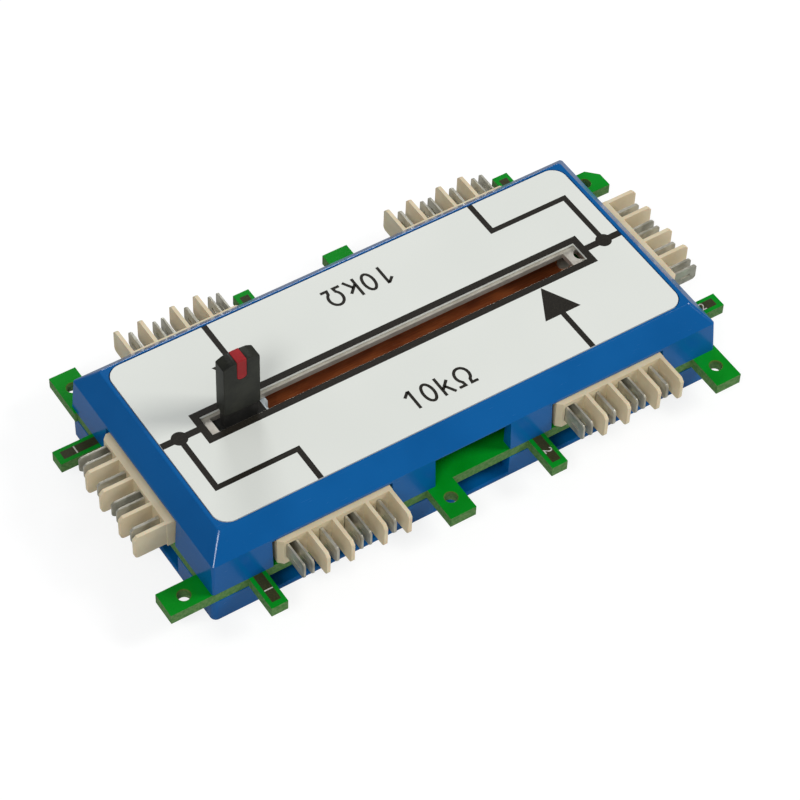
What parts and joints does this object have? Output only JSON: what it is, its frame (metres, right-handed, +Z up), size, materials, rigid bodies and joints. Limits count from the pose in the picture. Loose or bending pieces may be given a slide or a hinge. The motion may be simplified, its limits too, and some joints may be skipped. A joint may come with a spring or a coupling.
{
  "type": "slide potentiometer",
  "caption": "Slide potentiometer in a flat two-part block with a slotted face label, plug connectors round its edge and a knob that slides along the slot.",
  "frame": {"origin": "middle of the underside of the lower shell", "axes": "+X along the slider's travel away from its rest end, +Y to the back, +Z up through the face label"},
  "size_m": [0.0846, 0.0446, 0.023],
  "materials": {
    "shell": "glossy moulded plastic",
    "board": "green solder mask over glass laminate",
    "label": "satin printed film",
    "housing": "ivory moulded plastic",
    "contact": "tin-plated contact metal",
    "cover": "plated steel",
    "track_board": "brown phenolic laminate",
    "track": "screen-printed carbon",
    "solder": "bright solder",
    "carriage": "self-coloured acetal",
    "spring": "spring bronze",
    "lever": "black plastic",
    "knob": "black plastic",
    "marker": "red plastic"
  },
  "bodies": {
    "housing": {"lower_shell": "shell", "circuit_board": "board", "upper_shell": "shell", "face_label": "label", "connector_housing_front_left": "housing", "fork_contacts_front_left": "contact", "blade_contacts_front_left": "contact", "connector_housing_front_right": "housing", "fork_contacts_front_right": "contact", "blade_contacts_front_right": "contact", "connector_housing_right": "housing", "fork_contacts_right": "contact", "blade_contacts_right": "contact", "connector_housing_back_right": "housing", "fork_contacts_back_right": "contact", "blade_contacts_back_right": "contact", "connector_housing_back_left": "housing", "fork_contacts_back_left": "contact", "blade_contacts_back_left": "contact", "connector_housing_left": "housing", "fork_contacts_left": "contact", "blade_contacts_left": "contact", "steel_cover": "cover", "track_board": "track_board", "resistive_track": "track", "collector_track": "track", "track_terminals": "contact", "solder_joints": "solder"},
    "slider": {"slider_carriage": "carriage", "wiper_springs": "spring", "slider_lever": "lever", "knob": "knob", "knob_marker": "marker"}
  },
  "joints": [
    {"name": "slider_travel", "type": "slide", "parent": "housing", "child": "slider", "axis": [1, 0, 0], "range_m": [0, 0.045]}
  ]
}
